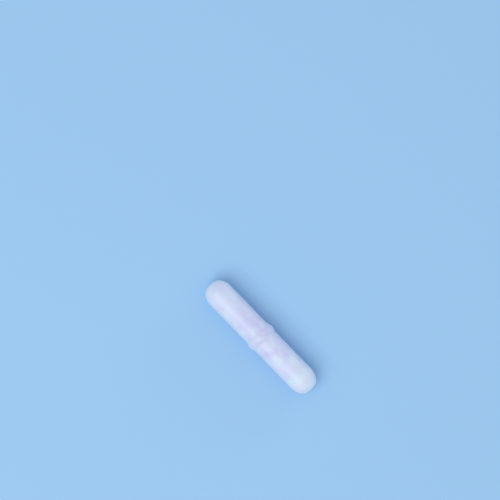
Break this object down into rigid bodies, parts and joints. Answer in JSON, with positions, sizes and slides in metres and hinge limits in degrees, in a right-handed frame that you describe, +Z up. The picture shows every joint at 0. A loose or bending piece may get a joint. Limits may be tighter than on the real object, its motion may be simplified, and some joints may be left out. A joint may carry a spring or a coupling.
{
  "type": "magnetic stir bar",
  "caption": "Straight round bar with domed ends and a low pivot ring round its middle: a rod magnet sealed in a white plastic jacket, spun by a stirrer to mix liquids.",
  "frame": {"origin": "middle of the bar, on its axis, at the centre of the pivot ring", "axes": "+X along the bar's axis, +Z up as the bar lies level on its pivot ring, where it spins about Z"},
  "size_m": [0.036, 0.0078, 0.0078],
  "materials": {
    "jacket": "waxy satin, milky white",
    "magnet": "ground grey metal"
  },
  "bodies": {
    "root": {"ptfe_jacket": "jacket", "rod_magnet": "magnet"}
  },
  "joints": []
}
